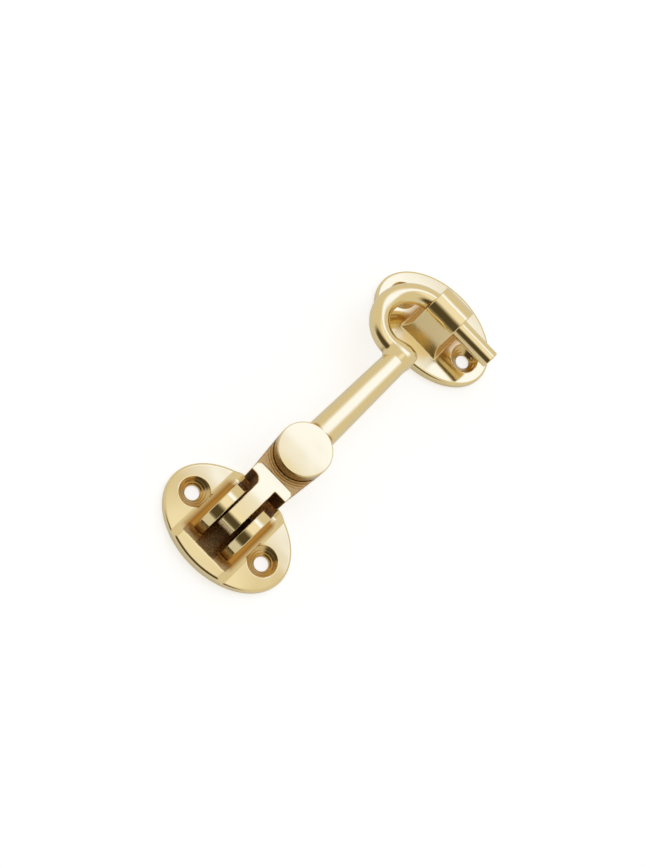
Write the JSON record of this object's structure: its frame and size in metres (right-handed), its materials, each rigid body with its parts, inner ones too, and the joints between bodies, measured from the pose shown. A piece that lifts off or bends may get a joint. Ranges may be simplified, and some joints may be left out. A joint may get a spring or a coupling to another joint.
{
  "type": "swivel cabin hook with eye",
  "caption": "Polished brass cabin hook: a tapered arm, hinged and swivelling on an oval plate, ends in a bent hook that drops through the barrel of an oval eye plate to hold a door.",
  "frame": {"origin": "middle of the hook plate's flat back", "axes": "+X along the closed hook from its plate to the eye, +Y across the hook to the side of its bend, +Z straight off the wall"},
  "size_m": [0.1328, 0.0464, 0.0229],
  "materials": {
    "polished_brass": "cast, ground and mirror polished",
    "brass_pin": "drawn, with flush polished ends"
  },
  "bodies": {
    "hook_base": {"hook_plate": "polished_brass", "plate_pin": "brass_pin"},
    "link": {"swivel_link": "polished_brass"},
    "hook": {"hook_arm": "polished_brass", "swivel_pin": "brass_pin"},
    "eye": {"eye_plate": "polished_brass"}
  },
  "joints": [
    {"name": "plate_hinge", "type": "hinge", "parent": "hook_base", "child": "link", "pos_m": [0, 0, 0.0145], "axis": [0, -1, 0], "range_deg": [0, 180]},
    {"name": "arm_swivel", "type": "hinge", "parent": "link", "child": "hook", "pos_m": [0.0292, 0.00047, 0.0145], "axis": [0, 0, 1], "range_deg": [-90, 90]},
    {"name": "unhook_slide", "type": "slide", "parent": "hook", "child": "eye", "axis": [0, -1, 0], "range_m": [0, 0.03]}
  ]
}
